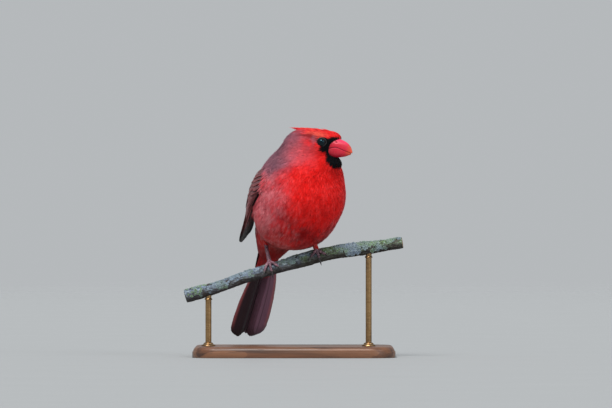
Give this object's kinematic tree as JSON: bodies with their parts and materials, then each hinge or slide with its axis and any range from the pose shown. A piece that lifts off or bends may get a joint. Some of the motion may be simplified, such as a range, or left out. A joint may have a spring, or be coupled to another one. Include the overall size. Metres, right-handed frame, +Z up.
{
  "type": "northern cardinal",
  "caption": "Life-size still model of a perched male northern cardinal with a laid crest, gripping a short cut branch that thin rods hold over an oblong wooden base.",
  "frame": {"origin": "centre of the whole part's footprint, on the underside of the base", "axes": "+Z up; +X along the base's long side and the perch, towards the end that the bird's bill points to; +Y towards the side that its tail hangs on"},
  "size_m": [0.1823, 0.12, 0.1909],
  "materials": {
    "plumage": "short, dense body feathers, red on the breast and greyer on the back",
    "flight_feathers": "smooth overlapping vanes, dusky red with darker inner webs",
    "bill_horn": "smooth coral-red horn",
    "eye_gloss": "wet, nearly black",
    "leg_scales": "fine scales, dusky pink brown",
    "claw_horn": "dark horn",
    "bark": "rough bark with patches of pale lichen, sawn ends",
    "base_wood": "satin oiled hardwood",
    "rod_metal": "dull, slightly brushed"
  },
  "bodies": {
    "root": {"head": "plumage", "neck": "plumage", "torso": "plumage", "bill_upper": "bill_horn", "bill_lower": "bill_horn", "eye_left": "eye_gloss", "eye_right": "eye_gloss", "wing_left": "flight_feathers", "wing_right": "flight_feathers", "tail": "flight_feathers", "leg_left": "leg_scales", "leg_right": "leg_scales", "foot_left": "leg_scales", "foot_right": "leg_scales", "claw_left_inner": "claw_horn", "claw_left_middle": "claw_horn", "claw_left_outer": "claw_horn", "claw_left_hind": "claw_horn", "claw_right_inner": "claw_horn", "claw_right_middle": "claw_horn", "claw_right_outer": "claw_horn", "claw_right_hind": "claw_horn", "stand_perch": "bark", "stand_base": "base_wood", "stand_rod_left": "rod_metal", "stand_rod_right": "rod_metal"}
  },
  "joints": []
}
